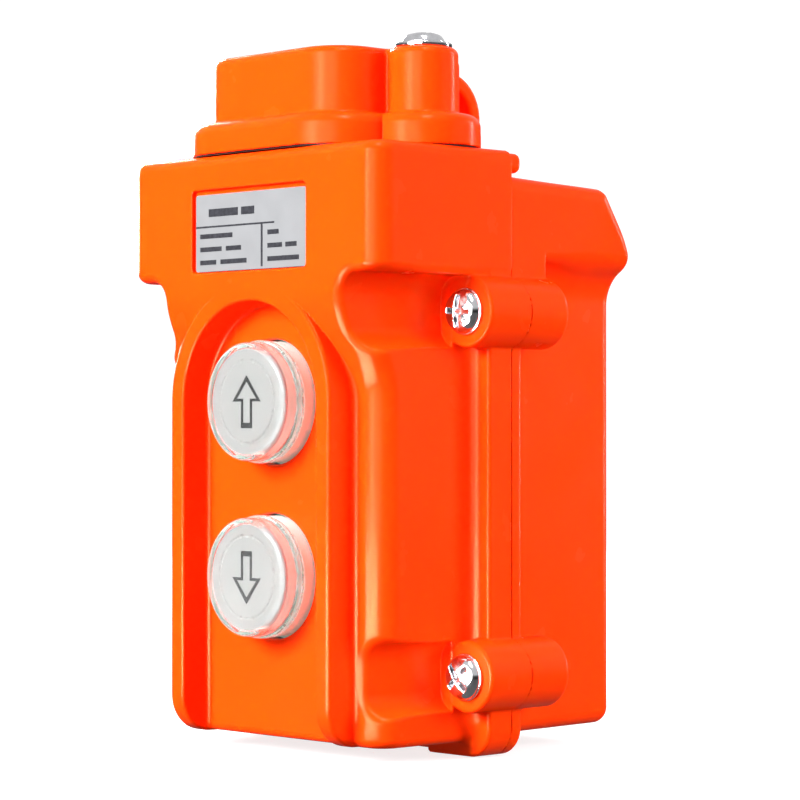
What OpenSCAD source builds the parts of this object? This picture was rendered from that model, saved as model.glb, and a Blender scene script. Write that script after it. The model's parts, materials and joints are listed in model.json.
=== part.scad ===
// Two-button pendant control station for a hoist, hung from its own cable.
// The origin is the mouth of the cable entry on top of the head. The front faces -Y and +X is its right.

/* [Housing] */
// Half width of the shoulder and of the flange
shoulder_half_w = 39.2; // [38:0.1:41]
// Half width of the body under the shoulder
body_half_w = 33; // [32:0.1:34]
// Distance of the shoulder's face and of the arch rim in front of the cable axis
shoulder_front = 25; // [24:0.5:27]
// Distance of the body's face in front of the cable axis
body_front = 18; // [17.5:0.1:19]
// Plane where the two shells meet, behind the cable axis
parting = 13.1; // [12.8:0.1:13.4]
// Back of the rear shell
back = 52; // [50:0.5:56]
// Bottom of the body
body_bottom = -142.9; // [-144:0.1:-141]
// Thickness of the walls
wall = 3; // [2.6:0.1:3.2]
/* [Flange and screws] */
// Front face of the flange
flange_front = 6.5; // [5.5:0.1:8]
// Back face of the flange
flange_back = 16.2; // [15.8:0.1:18]
// Bottom of the flange
flange_bottom = -146; // [-150:0.1:-145]
// Distance of the housing screws from the middle
boss_x = 37.75; // [37.4:0.05:38]
// Height of the upper pair of housing screws
boss_upper_z = -54.6; // [-56:0.1:-54]
// Height of the lower pair of housing screws
boss_lower_z = -129; // [-131:0.1:-128]
// Radius of the screw bosses
boss_r = 7.4; // [7:0.1:7.6]
// Radius of the screwdriver channels
channel_r = 8; // [7.6:0.1:8.2]
/* [Head] */
// Half width of the head between its lobes
head_half_w = 22.35; // [21:0.05:23]
// Half depth of the head
head_half_d = 20.5; // [19:0.5:21]
// Height of the head above the plinth
head_h = 14; // [12:0.5:14.5]
// Distance of the head screws from the middle
lobe_x = 26.5; // [26:0.1:27]
// Radius of the lobes that carry the head screws
lobe_r = 7.3; // [7:0.1:8]
// Growth of the plinth round the head's outline
plinth_grow = 4.6; // [4:0.1:4.8]
// Top of the front shell
housing_top = -21; // [-21.2:0.1:-20.9]
// Radius of the hole that takes the cable
cable_r = 5.5; // [4.5:0.1:6]
/* [Buttons] */
// Height of the upper button
up_z = -72.9; // [-74:0.1:-72]
// Height of the lower button
down_z = -109.2; // [-110:0.1:-108.5]
// Radius of a button's cap
cap_r = 12.6; // [12.4:0.05:12.8]
// Front face of a button, in front of the cable axis
lens_front = 25.9; // [25.5:0.1:27]
// Inner half width of the arch rim
arch_inner = 20.9; // [20.5:0.1:21.2]
// Outer half width of the arch rim
arch_outer = 25.1; // [24.5:0.1:25.6]

/* [Hidden] */
$fn = 48;

orange = [0.96, 0.36, 0.03];
black = [0.1, 0.1, 0.1];
steel = [0.75, 0.75, 0.77];
brass = [0.8, 0.66, 0.3];
grey_plastic = [0.35, 0.36, 0.38];

// Shells
roof_z = -26.2;
roof_back_z = -27.3;
slope_top_y = 42.4;
slope_bottom = [51.2, -40.4];
shoulder_bottom = -47;
rear_shoulder_bottom = -44.5;
rear_step_y = 23.6;
waist_r = 6;
cavity_top = -31;
cavity_bottom = -138.5;
cavity_half_w = body_half_w - wall;
pocket = [18, 20, 8];
boss_front = 1.3;
boss_back = 24.6;
lip = [37.5, -25.4];
lip_back = 17.8;
label_low = [-18, -45.7];
label_high = [18, -28.3];
label_depth = 1.2;
seal_x = cavity_half_w + 2.5;
seal_top = -28.6;
seal_bottom = -141.3;
seal_w = 1.9;
seal_depth = 1.2;

// Screws, with the bores of what they turn into a little wider than their shanks
m5_r = 2.5;
m5_clear_r = 2.8;
m5_head = [4.6, 2.4];
m3_r = 1.5;
m3_head = [2.8, 1.9];
insert_r = 3.4;
insert_bore_r = 2.55;
washer = [4.85, 0.7];
head_washer = [6, 0.9];

// Head
lug_y = 30.8;
lug_z = -10;
lug_r = 10;
lug_hole_r = 6.7;
lug_t = 6;
plinth_bottom = -20.7;
grommet_top_z = -4;
grommet_r = 12;
grommet_neck_r = 9.4;
ring_top_z = -19;
entry_r = 9;

// Button train, each plane measured along +Y from the cable axis
button_hole_r = 13.1;
lens_r = 12.3;
lens_wall = 1.05;
lens_skin = 1.2;
lens_ridge = [12.8, -22.3];
cap_front = -20.4;
legend_planes = [-24.5, -23.8];
cap_back = -11.5;
cap_flange = [15, 2];
cap_floor = -18.5;
cap_inside_r = 10.5;
ring_seal = [13.2, 17, 1.4];
stem_r = 4;
bridge_planes = [3.2, 4.2];
bridge_dz = 6.5;
tip_r = 1.4;
tip_x = 8;
spring = [7, 0.45, 7];
travel = 4.8;

// Contact block
base_half_w = 26.5;
base_z = [-122, -60];
base_planes = [-4, -1];
cover_planes = [12.3, 15.3];
post_x = 20.5;
post_z = [-116.5, -65.5];
tip_h = 1;
contact_front = bridge_planes[1] + 2 * tip_h + travel + 0.1;
contact_planes = [contact_front, cover_planes[0]];
cradle_z = [-42, -34];
saddle_x = 11.3;
block_wall = 2;

// Points along an arc from angle a0 to angle a1
function arc(c, r, a0, a1, steps = 6) =
    [for (i = [0 : steps]) let (a = a0 + (a1 - a0) * i / steps) c + r * [cos(a), sin(a)]];

// Rectangle from p to q with its own radius at each corner, counter-clockwise from the lower left
module round_rect(p, q, r) {
    polygon(concat(
        arc([p.x + r[0], p.y + r[0]], r[0], 180, 270),
        arc([q.x - r[1], p.y + r[1]], r[1], 270, 360),
        arc([q.x - r[2], q.y - r[2]], r[2], 0, 90),
        arc([p.x + r[3], q.y - r[3]], r[3], 90, 180)));
}

// Outline in X and Y, raised from z0 to z1
module slab_z(z0, z1) {
    translate([0, 0, z0])
        linear_extrude(z1 - z0) children();
}

// Outline in X and Z, run from y0 to y1
module slab_y(y0, y1) {
    translate([0, y1, 0])
        rotate([90, 0, 0])
            linear_extrude(y1 - y0) children();
}

// Outline in Y and Z, run from -half_w to half_w
module slab_x(half_w) {
    rotate([90, 0, 90])
        linear_extrude(2 * half_w, center = true) children();
}

// Round bar along Y
module rod_y(r, y0, y1, at = [0, 0]) {
    translate([at.x, y0, at.y])
        rotate([-90, 0, 0])
            cylinder(r = r, h = y1 - y0);
}

// Tube along Y
module tube_y(r, bore, y0, y1, at = [0, 0]) {
    difference() {
        rod_y(r, y0, y1, at);
        rod_y(bore, y0 - 1, y1 + 1, at);
    }
}

// Pan-head screw with a cross recess: it sits at the origin and its shank runs down -Z
module pan_screw(shank_r, length, head) {
    crown = head.y * 0.55;
    translate([0, 0, -length])
        cylinder(r = shank_r, h = length + 0.1);
    difference() {
        rotate_extrude()
            polygon(concat(
                [[0, 0], [head.x, 0]],
                arc([head.x - crown, head.y - crown], crown, 0, 90, 4),
                [[0, head.y]]));
        for (turn = [0, 90])
            rotate(turn)
                translate([-head.x * 0.5, -head.x * 0.11, head.y * 0.3])
                    cube([head.x, head.x * 0.22, head.y]);
    }
}

// The four housing screws' places, in X and Z
module at_bosses() {
    for (side = [-1, 1], z = [boss_lower_z, boss_upper_z])
        translate([side * boss_x, 0, z]) children();
}

// The two head screws' places
module at_lobes() {
    for (side = [-1, 1])
        translate([side * lobe_x, 0, 0]) children();
}

// Outline of the arch round the buttons, open at the bottom
module arch_outline(half_w) {
    translate([0, up_z])
        circle(half_w);
    translate([-half_w, body_bottom - 1])
        square([2 * half_w, up_z - body_bottom + 1]);
}

// Concave fillet in the angle between a wall on the left and a ceiling above
module fillet_outline(corner, r) {
    polygon(concat([corner], arc([corner.x + r, corner.y - r], r, 90, 180)));
}

module shoulder_solid() {
    intersection() {
        slab_z(shoulder_bottom, housing_top)
            round_rect([-shoulder_half_w, -shoulder_front], [shoulder_half_w, parting], [5, 5, 0, 0]);
        slab_y(-shoulder_front, parting)
            round_rect([-shoulder_half_w, shoulder_bottom], [shoulder_half_w, housing_top], [4, 4, 3, 3]);
    }
}

module body_solid() {
    intersection() {
        slab_z(body_bottom, cavity_top)
            round_rect([-body_half_w, -body_front], [body_half_w, parting], [5.6, 5.6, 0, 0]);
        slab_x(body_half_w)
            round_rect([-body_front, body_bottom], [parting, cavity_top], [2, 0, 0, 0]);
    }
}

// Ramp that takes the shoulder's face back to the body's, beside the arch
module brow_solid() {
    intersection() {
        slab_z(up_z, shoulder_bottom + 3)
            round_rect([-body_half_w, -shoulder_front], [body_half_w, 0], [5, 5, 0, 0]);
        slab_x(body_half_w)
            polygon([[-shoulder_front, shoulder_bottom + 3], [-shoulder_front, shoulder_bottom - 2],
                [-body_front, up_z], [0, up_z], [0, shoulder_bottom + 3]]);
    }
}

module arch_solid() {
    intersection() {
        slab_y(-shoulder_front, -body_front + 1)
            arch_outline(arch_outer);
        slab_x(arch_outer)
            round_rect([-shoulder_front, body_bottom], [0, shoulder_bottom], [6, 0, 0, 0]);
    }
}

// Curved bracket under the shoulder on both sides
module waist(y0, y1, corner_z, r) {
    for (side = [0, 1])
        mirror([side, 0, 0])
            slab_y(y0, y1)
                fillet_outline([body_half_w - 0.01, corner_z + 0.01], r);
}

// Room for the works, with the screwdriver channels' walls left standing
module front_cavity() {
    difference() {
        union() {
            translate([-cavity_half_w, wall - body_front, cavity_bottom])
                cube([2 * cavity_half_w, parting + body_front - wall + 1, cavity_top - cavity_bottom]);
            translate([wall - shoulder_half_w, wall - shoulder_front, shoulder_bottom + wall])
                cube([2 * (shoulder_half_w - wall), shoulder_front - wall + boss_front, cavity_top
                    - shoulder_bottom - wall]);
            translate([-pocket.x, -pocket.y, cavity_top - 1])
                cube([2 * pocket.x, pocket.y + pocket.z, housing_top - wall - 0.5 - cavity_top + 1]);
        }
        at_bosses()
            rod_y(channel_r + 2.4, -shoulder_front, parting + 2);
    }
}

module front_outside() {
    shoulder_solid();
    body_solid();
    brow_solid();
    arch_solid();
    waist(wall + 6 - body_front, parting, shoulder_bottom, waist_r);
    slab_y(flange_front, parting)
        round_rect([-shoulder_half_w, flange_bottom], [shoulder_half_w, shoulder_bottom + 3], [6, 6, 0, 0]);
    for (side = [0, 1])
        mirror([side, 0, 0])
            slab_z(body_bottom + 3, shoulder_bottom)
                fillet_outline([body_half_w - 0.01, flange_front + 0.01], 3.5);
    at_bosses()
        rod_y(boss_r, boss_front, parting);
    slab_y(parting - 1, lip_back)
        round_rect([-lip.x, lip.y], [lip.x, housing_top - 0.3], [1.8, 1.8, 1.5, 1.5]);
}

module front_housing() color(orange) {
    difference() {
        front_outside();
        slab_y(-shoulder_front - 1, -body_front)
            arch_outline(arch_inner);
        front_cavity();
        at_bosses()
            rod_y(channel_r, -shoulder_front - 5, boss_front);
        at_bosses()
            rod_y(m5_clear_r, 0, parting + 1);
        for (z = [up_z, down_z])
            rod_y(button_hole_r, -shoulder_front, wall - body_front + 1, [0, z]);
        slab_y(-shoulder_front - 1, label_depth - shoulder_front)
            round_rect(label_low, label_high, [1, 1, 1, 1]);
        translate([0, 0, cavity_top - 1])
            cylinder(r = entry_r, h = housing_top - cavity_top + 2);
        at_lobes()
            translate([0, 0, -30.5])
                cylinder(r = insert_r + 0.05, h = 12);
        slab_y(parting - seal_depth, parting + 1)
            seal_outline(0.05);
    }
    base_posts();
    cord_cradle();
}

// Posts behind the panel that carry the contact block
module base_posts() {
    for (side = [-1, 1], z = post_z)
        tube_y(3.2, m3_r + 0.05, wall - body_front - 0.01, base_planes[0], [side * post_x, z]);
}

// Block that the cord lies in, under the head
module cord_cradle() {
    difference() {
        translate([-15, wall - shoulder_front - 0.01, cradle_z[0]])
            cube([30, shoulder_front - wall - 0.99, cradle_z[1] - cradle_z[0]]);
        translate([0, 0, cradle_z[0] - 1])
            cylinder(r = cable_r, h = 10);
        for (side = [-1, 1])
            rod_y(m3_r + 0.05, -13, 0, [side * saddle_x, -38]);
    }
}

// Ring that the housing seal fills, grown by gap on both sides
module seal_outline(gap) {
    w = seal_w / 2 + gap;
    difference() {
        round_rect([-seal_x - w, seal_bottom - w], [seal_x + w, seal_top + w], [6, 6, 4, 4]);
        round_rect([w - seal_x, seal_bottom + w], [seal_x - w, seal_top - w], [4, 4, 2, 2]);
    }
}

module housing_seal() color(black)
    slab_y(parting - seal_depth, parting)
        seal_outline(0);

// Side view of the rear shell, moved inwards by t
module rear_profile(t) {
    r = 6 - t;
    low = body_bottom + 0.7 + t;
    polygon(concat(
        [[parting, low]],
        arc([back - t - r, low + r], r, -90, 0),
        [[back - t, slope_bottom.y - 4], [slope_bottom.x - t * 0.8, slope_bottom.y - t * 0.4]],
        [[slope_top_y - t * 0.45, roof_back_z - t], [parting, roof_z - t]]));
}

module rear_outside() {
    intersection() {
        slab_z(body_bottom, roof_z)
            round_rect([-body_half_w, parting], [body_half_w, back], [0, 0, 4, 4]);
        slab_x(body_half_w)
            rear_profile(0);
    }
    intersection() {
        slab_z(shoulder_bottom, roof_z)
            round_rect([-shoulder_half_w, parting], [shoulder_half_w, back], [0, 0, 3, 3]);
        slab_x(shoulder_half_w)
            rear_profile(0);
        union() {
            slab_y(parting, rear_step_y)
                round_rect([-shoulder_half_w, shoulder_bottom], [shoulder_half_w, roof_z], [4, 4, 2, 2]);
            slab_y(rear_step_y - 0.1, back)
                round_rect([-shoulder_half_w, rear_shoulder_bottom], [shoulder_half_w, roof_z], [4, 4, 2, 2]);
        }
    }
    waist(parting, rear_step_y, shoulder_bottom, waist_r);
    waist(rear_step_y - 0.1, back - 4, rear_shoulder_bottom, waist_r);
    slab_y(parting, flange_back)
        round_rect([-shoulder_half_w, flange_bottom], [shoulder_half_w, roof_z], [6, 6, 3, 3]);
    at_bosses()
        rod_y(boss_r, parting, boss_back);
}

module rear_housing() color(orange)
    difference() {
        rear_outside();
        intersection() {
            slab_x(cavity_half_w)
                rear_profile(wall);
            slab_z(cavity_bottom, cavity_top)
                round_rect([-cavity_half_w, parting - 1], [cavity_half_w, back - wall], [0, 0, 2, 2]);
        }
        at_bosses()
            rod_y(insert_r + 0.05, parting - 1, 22.5);
    }

// Plan of the head, grown by gap
module head_outline(gap) {
    w = head_half_w + gap;
    d = head_half_d + gap;
    r = 10 + gap * 0.6;
    round_rect([-w, -d], [w, d], [r, r, r, r]);
    for (side = [-1, 1])
        translate([side * lobe_x, 0])
            circle(lobe_r + gap);
}

module cable_head() color(orange)
    difference() {
        union() {
            slab_z(-head_h - 0.1, 0)
                head_outline(0);
            slab_z(plinth_bottom, -head_h)
                head_outline(plinth_grow);
            translate([-lug_t / 2, lug_y, lug_z])
                rotate([0, 90, 0])
                    cylinder(r = lug_r, h = lug_t);
            translate([-lug_t / 2, head_half_d - 1, -17.5])
                cube([lug_t, 5, 13.5]);
        }
        translate([-lug_t / 2 - 1, lug_y, lug_z])
            rotate([0, 90, 0])
                cylinder(r = lug_hole_r, h = lug_t + 2);
        translate([0, 0, grommet_top_z - 30])
            cylinder(r = grommet_r, h = 30);
        translate([0, 0, -10])
            cylinder(r = grommet_neck_r, h = 11);
        at_lobes()
            translate([0, 0, -22])
                cylinder(r = m5_clear_r, h = 23);
    }

module head_gasket() color(black)
    difference() {
        slab_z(housing_top, plinth_bottom)
            head_outline(plinth_grow - 0.7);
        slab_z(housing_top - 1, plinth_bottom + 1)
            circle(grommet_r + 1);
        at_lobes()
            translate([0, 0, housing_top - 1])
                cylinder(r = m5_clear_r, h = 3);
    }

module cable_grommet() color(black)
    difference() {
        union() {
            translate([0, 0, ring_top_z])
                cylinder(r = grommet_r - 0.1, h = grommet_top_z - ring_top_z);
            translate([0, 0, grommet_top_z - 1])
                cylinder(r = grommet_neck_r - 0.1, h = 1 - grommet_top_z);
        }
        translate([0, 0, ring_top_z - 1])
            cylinder(r = cable_r, h = 2 - ring_top_z);
    }

module grommet_ring() color(steel)
    difference() {
        translate([0, 0, housing_top])
            cylinder(r = grommet_r - 0.1, h = ring_top_z - housing_top);
        translate([0, 0, housing_top - 1])
            cylinder(r = cable_r + 0.7, h = 4);
    }

module head_screws() color(steel)
    at_lobes()
        translate([0, 0, head_washer.y])
            pan_screw(m5_r, 30, m5_head);

module head_washers() color(steel)
    at_lobes()
        difference() {
            cylinder(r = head_washer.x, h = head_washer.y);
            translate([0, 0, -1])
                cylinder(r = m5_r + 0.1, h = 3);
        }

module head_inserts() color(brass)
    at_lobes()
        difference() {
            translate([0, 0, -30.5])
                cylinder(r = insert_r, h = 9.2);
            translate([0, 0, -31])
                cylinder(r = insert_bore_r, h = 11);
        }

module housing_screws() color(steel)
    at_bosses()
        translate([0, boss_front - washer.y, 0])
            rotate([90, 0, 0])
                pan_screw(m5_r, 20, m5_head);

module housing_washers() color(steel)
    at_bosses()
        tube_y(washer.x, m5_r + 0.1, boss_front - washer.y, boss_front);

module housing_inserts() color(brass)
    at_bosses()
        tube_y(insert_r, insert_bore_r, parting + 0.4, 22.4);

module rating_label() color([0.86, 0.87, 0.88])
    slab_y(-shoulder_front + 0.4, label_depth - shoulder_front)
        round_rect([label_low.x + 1, label_low.y + 0.2], [label_high.x - 0.2, label_high.y - 1],
            [0.6, 0.6, 0.6, 0.6]);

module panel_seal(z) color(black)
    tube_y(ring_seal[1], ring_seal[0], wall - body_front, wall - body_front + ring_seal[2], [0, z]);

module up_seal()
    panel_seal(up_z);

module down_seal()
    panel_seal(down_z);

module switch_base() color(grey_plastic)
    difference() {
        union() {
            translate([-base_half_w, base_planes[0], base_z[0]])
                cube([2 * base_half_w, base_planes[1] - base_planes[0], base_z[1] - base_z[0]]);
            slab_y(base_planes[1] - 0.1, cover_planes[0])
                difference() {
                    round_rect([-base_half_w, base_z[0]], [base_half_w, base_z[1]], [1, 1, 1, 1]);
                    for (z = [[base_z[0], -92], [-90, base_z[1]]])
                        round_rect([block_wall - base_half_w, z[0] + block_wall],
                            [base_half_w - block_wall, z[1] - block_wall], [1, 1, 1, 1]);
                }
            for (side = [-1, 1])
                rod_y(3.2, base_planes[1] - 0.1, cover_planes[0], [side * post_x, -91]);
        }
        for (z = [up_z, down_z])
            rod_y(stem_r + 0.1, base_planes[0] - 1, base_planes[1] + 1, [0, z]);
        for (side = [-1, 1], z = post_z)
            rod_y(m3_r + 0.15, base_planes[0] - 1, base_planes[1] + 1, [side * post_x, z]);
        for (side = [-1, 1])
            rod_y(m3_r + 0.05, 1, cover_planes[0] + 1, [side * post_x, -91]);
    }

module switch_cover() color(grey_plastic)
    difference() {
        slab_y(cover_planes[0], cover_planes[1])
            round_rect([-base_half_w, base_z[0]], [base_half_w, base_z[1]], [1, 1, 1, 1]);
        for (side = [-1, 1])
            rod_y(m3_r + 0.15, cover_planes[0] - 1, cover_planes[1] + 1, [side * post_x, -91]);
        at_contacts()
            rod_y(m3_r + 0.05, cover_planes[0] - 1, cover_planes[1] + 1, [terminal_dx, 0]);
    }

module base_screws() color(steel)
    for (side = [-1, 1], z = post_z)
        translate([side * post_x, base_planes[1], z])
            rotate([-90, 0, 0])
                pan_screw(m3_r, 10, m3_head);

module cover_screws() color(steel)
    for (side = [-1, 1])
        translate([side * post_x, cover_planes[1], -91])
            rotate([-90, 0, 0])
                pan_screw(m3_r, 10, m3_head);

// Places of the eight fixed contacts, each drawn for the right side
terminal_dx = 16.5;
module at_contacts() {
    for (z = [up_z, down_z], dz = [-bridge_dz, bridge_dz], side = [0, 1])
        translate([0, 0, z + dz])
            mirror([side, 0, 0]) children();
}

module fixed_contacts() color(brass)
    at_contacts()
        difference() {
            translate([6.5, contact_planes[0], -2.2])
                cube([terminal_dx - 6.5 + 3, contact_planes[1] - contact_planes[0], 4.4]);
            rod_y(m3_r + 0.05, contact_planes[0] - 1, contact_planes[1] + 1, [terminal_dx, 0]);
        }

module fixed_tips() color(steel)
    at_contacts()
        rod_y(tip_r, contact_planes[0] - tip_h, contact_planes[0], [tip_x, 0]);

module terminal_clamps() color(steel)
    at_contacts()
        difference() {
            translate([terminal_dx - 3.5, cover_planes[1], -3])
                cube([7, 1.6, 6]);
            rod_y(m3_r + 0.05, cover_planes[1] - 1, cover_planes[1] + 3, [terminal_dx, 0]);
        }

module terminal_screws() color(steel)
    at_contacts()
        translate([terminal_dx, cover_planes[1] + 1.6, 0])
            rotate([-90, 0, 0])
                pan_screw(m3_r, 6, m3_head);

module cord_saddle() color(steel)
    difference() {
        union() {
            translate([-15, -1, cradle_z[0]])
                cube([30, 1.5, cradle_z[1] - cradle_z[0]]);
            intersection() {
                translate([0, 0, cradle_z[0]])
                    cylinder(r = cable_r + 1.5, h = cradle_z[1] - cradle_z[0]);
                translate([-15, -1, cradle_z[0]])
                    cube([30, 20, 8]);
            }
        }
        translate([0, 0, cradle_z[0] - 1])
            cylinder(r = cable_r, h = 10);
        for (side = [-1, 1])
            rod_y(m3_r + 0.15, -2, 2, [side * saddle_x, -38]);
    }

module saddle_screws() color(steel)
    for (side = [-1, 1])
        translate([side * saddle_x, 0.5, -38])
            rotate([-90, 0, 0])
                pan_screw(m3_r, 12, m3_head);

// Return spring: a round wire wound from the cap's floor to the contact block
module return_spring(z) {
    sides = 8;
    steps = 16 * spring[2];
    start = cap_floor + spring[1] + 0.05;
    reach = base_planes[0] - cap_floor - 2 * spring[1] - 0.1;
    points = [for (i = [0 : steps], j = [0 : sides - 1])
        let (a = 360 * spring[2] * i / steps, b = 360 * j / sides, r = spring[0] + spring[1] * cos(b))
            [r * cos(a), start + reach * i / steps + spring[1] * sin(b), r * sin(a) + z]];
    tube = [for (i = [0 : steps - 1], j = [0 : sides - 1])
        [i * sides + j, i * sides + (j + 1) % sides, (i + 1) * sides + (j + 1) % sides, (i + 1) * sides + j]];
    ends = [[for (j = [sides - 1 : -1 : 0]) j], [for (j = [0 : sides - 1]) steps * sides + j]];
    color(steel)
        polyhedron(points, concat(tube, ends));
}

module up_spring()
    return_spring(up_z);

module down_spring()
    return_spring(down_z);

module lens(z) color([0.9, 0.93, 0.95, 0.5])
    difference() {
        union() {
            rod_y(lens_r, -lens_front, lens_ridge.y, [0, z]);
            rod_y(lens_ridge.x, lens_ridge.y - 0.01, cap_front, [0, z]);
        }
        rod_y(lens_r - lens_wall, lens_skin - lens_front, cap_front + 1, [0, z]);
    }

module legend(z) color([0.95, 0.95, 0.95])
    rod_y(lens_r - lens_wall - 0.15, legend_planes[0], legend_planes[1], [0, z]);

// Outlined arrow that points up, with a solid bar at its tail
module arrow_shape(inset) {
    difference() {
        arrow_polygon(0);
        arrow_polygon(inset);
    }
    translate([-1.7, -5.45])
        square([3.4, 1.1]);
}

module arrow_polygon(t) {
    slope = t * 2.03;
    polygon([[0, 5.45 - slope], [4.4 - t * 2.2, 0.05 + t], [1.7 - t, 0.05 + t], [1.7 - t, -5.45 + t],
        [t - 1.7, -5.45 + t], [t - 1.7, 0.05 + t], [t * 2.2 - 4.4, 0.05 + t]]);
}

module arrow(z, up) color([0.5, 0.5, 0.5])
    translate([0, 0, z])
        mirror([0, 0, up ? 0 : 1])
            slab_y(legend_planes[0] - 0.12, legend_planes[0])
                arrow_shape(0.6);

module cap(z) color([0.93, 0.92, 0.92])
    difference() {
        union() {
            rod_y(lens_r - lens_wall - 0.15, legend_planes[1], cap_front + 0.01, [0, z]);
            rod_y(cap_r, cap_front, cap_back, [0, z]);
            rod_y(cap_flange[0], cap_back - cap_flange[1], cap_back, [0, z]);
        }
        rod_y(cap_inside_r, cap_floor, cap_back + 1, [0, z]);
    }

module carrier(z) color(black)
    difference() {
        union() {
            rod_y(6, cap_floor, cap_floor + 1.5, [0, z]);
            rod_y(stem_r, cap_floor, bridge_planes[0], [0, z]);
            translate([-4.5, bridge_planes[0] - 1.2, z - 9])
                cube([9, 3.8, 18]);
        }
        for (dz = [-bridge_dz, bridge_dz])
            translate([-5, bridge_planes[0] - 0.02, z + dz - 2.02])
                cube([10, bridge_planes[1] - bridge_planes[0] + 0.04, 4.04]);
    }

module bridges(z) color(brass)
    for (dz = [-bridge_dz, bridge_dz])
        translate([-10, bridge_planes[0], z + dz - 2])
            cube([20, bridge_planes[1] - bridge_planes[0], 4]);

module bridge_tips(z) color(steel)
    for (dz = [-bridge_dz, bridge_dz], side = [-1, 1])
        rod_y(tip_r, bridge_planes[1], bridge_planes[1] + tip_h, [side * tip_x, z + dz]);

module up_lens()
    lens(up_z);

module up_legend()
    legend(up_z);

module up_arrow()
    arrow(up_z, true);

module up_cap()
    cap(up_z);

module up_carrier()
    carrier(up_z);

module up_bridges()
    bridges(up_z);

module up_bridge_tips()
    bridge_tips(up_z);

module down_lens()
    lens(down_z);

module down_legend()
    legend(down_z);

module down_arrow()
    arrow(down_z, false);

module down_cap()
    cap(down_z);

module down_carrier()
    carrier(down_z);

module down_bridges()
    bridges(down_z);

module down_bridge_tips()
    bridge_tips(down_z);

front_housing();
rear_housing();
housing_seal();
cable_head();
head_gasket();
cable_grommet();
grommet_ring();
head_screws();
head_washers();
head_inserts();
housing_screws();
housing_washers();
housing_inserts();
rating_label();
up_seal();
down_seal();
switch_base();
switch_cover();
base_screws();
cover_screws();
fixed_contacts();
fixed_tips();
terminal_clamps();
terminal_screws();
cord_saddle();
saddle_screws();
up_spring();
down_spring();
up_lens();
up_legend();
up_arrow();
up_cap();
up_carrier();
up_bridges();
up_bridge_tips();
down_lens();
down_legend();
down_arrow();
down_cap();
down_carrier();
down_bridges();
down_bridge_tips();
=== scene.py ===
"""Pendant control station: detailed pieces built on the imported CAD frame."""
import json
import math

import bmesh
import bpy
import numpy as np
from mathutils import Matrix, Vector


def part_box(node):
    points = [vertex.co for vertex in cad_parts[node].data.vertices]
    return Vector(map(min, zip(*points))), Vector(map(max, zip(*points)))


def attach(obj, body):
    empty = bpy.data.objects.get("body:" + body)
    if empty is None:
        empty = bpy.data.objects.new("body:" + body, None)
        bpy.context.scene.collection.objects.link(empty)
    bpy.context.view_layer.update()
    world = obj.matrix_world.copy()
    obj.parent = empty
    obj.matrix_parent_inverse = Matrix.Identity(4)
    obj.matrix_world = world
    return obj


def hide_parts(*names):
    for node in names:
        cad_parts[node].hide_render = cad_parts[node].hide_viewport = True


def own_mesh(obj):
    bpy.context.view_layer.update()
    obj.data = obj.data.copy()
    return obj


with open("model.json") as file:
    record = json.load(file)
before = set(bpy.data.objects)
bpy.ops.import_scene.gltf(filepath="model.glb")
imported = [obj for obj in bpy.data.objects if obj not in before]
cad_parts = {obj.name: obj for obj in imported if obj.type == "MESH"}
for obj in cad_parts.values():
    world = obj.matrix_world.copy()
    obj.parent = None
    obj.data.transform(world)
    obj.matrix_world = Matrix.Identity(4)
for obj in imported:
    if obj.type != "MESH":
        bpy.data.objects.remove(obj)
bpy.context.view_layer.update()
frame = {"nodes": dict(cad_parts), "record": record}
scene = bpy.context.scene
MM = 0.001
HOUSING = "housing"
# Pieces that show the mirrored lights: the label and the buttons would be washed out by them
SHINY_SLOTS = ("orange_shell", "bright_screw")
shiny = bpy.data.collections.new("shiny_pieces")

# ---------------------------------------------------------------- camera, floor and light

FLOOR_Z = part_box("front_housing")[0][2]


CAMERA_PLACE = (0.4490, -0.4089, -0.0783)
CAMERA_TILT = 90.56
CAMERA_TURN = 46.4
LENS_LENGTH = 128.4
FLOOR_RADIUS = 2.5
FLOOR_GAP = 0.0002
FLOOR_GREY = 0.35
FLOOR_GLOW = 0.8
BACKDROP = 1.1
# Height, -1 to 1, and strength: of the sky that lights the object, and of the sky that it mirrors
SKY_LIT = ((-0.5, 0.18), (0.5, 0.55))
SKY_MIRRORED = ((-1, 0.2), (1, 0.9), (-0.16, 0.15), (-0.08, 0.03), (0.12, 0.05), (0.25, 0.85))


def add_camera():
    data = bpy.data.cameras.new("view")
    data.lens = LENS_LENGTH
    data.sensor_width = 36
    data.clip_start = 0.01
    camera = bpy.data.objects.new("view", data)
    camera.location = CAMERA_PLACE
    camera.rotation_euler = (math.radians(CAMERA_TILT), 0, math.radians(CAMERA_TURN))
    scene.collection.objects.link(camera)
    scene.camera = camera


def add_light(name, place, aim, size, watts):
    data = bpy.data.lights.new(name, "AREA")
    data.shape = "RECTANGLE"
    data.size, data.size_y = size
    data.energy = watts
    light = bpy.data.objects.new(name, data)
    light.location = place
    light.rotation_euler = (Vector(aim) - Vector(place)).to_track_quat("-Z", "Y").to_euler()
    scene.collection.objects.link(light)
    return light


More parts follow.
